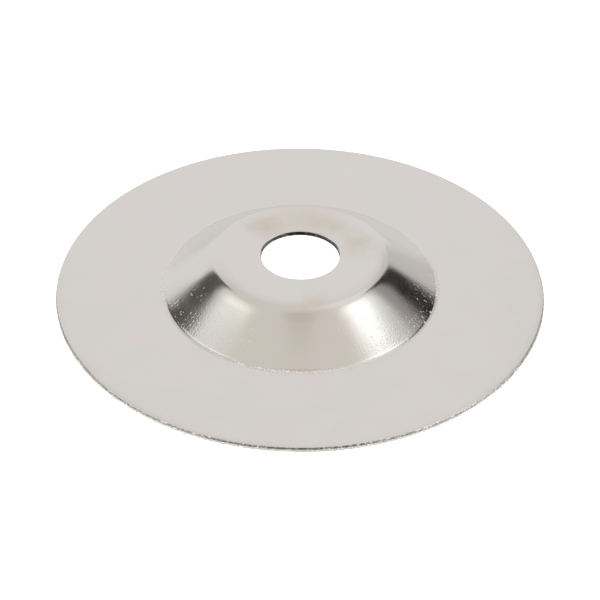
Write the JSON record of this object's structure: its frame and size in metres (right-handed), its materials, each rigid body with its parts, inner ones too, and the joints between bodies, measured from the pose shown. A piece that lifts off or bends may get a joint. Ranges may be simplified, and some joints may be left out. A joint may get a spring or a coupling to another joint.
{
  "type": "diamond grinding wheel",
  "caption": "Flat round grinding wheel: a pressed, nickel-plated steel disc with a raised hollow boss and a central bore, with diamond grit plated on its flat working face and rim.",
  "frame": {"origin": "on the bore's axis, in the plane of the grit's tips, which is the plane that the wheel lies on", "axes": "+Z along the bore's axis, from the working face towards the raised boss; X and Y are any two square directions, because the wheel is round"},
  "size_m": [0.1, 0.1, 0.0088],
  "materials": {
    "bright_nickel": "polished",
    "dull_nickel": "satin",
    "diamond": "gloss"
  },
  "bodies": {
    "root": {"steel_disc": "bright_nickel", "nickel_bond": "dull_nickel", "diamond_grit": "diamond"}
  },
  "joints": []
}
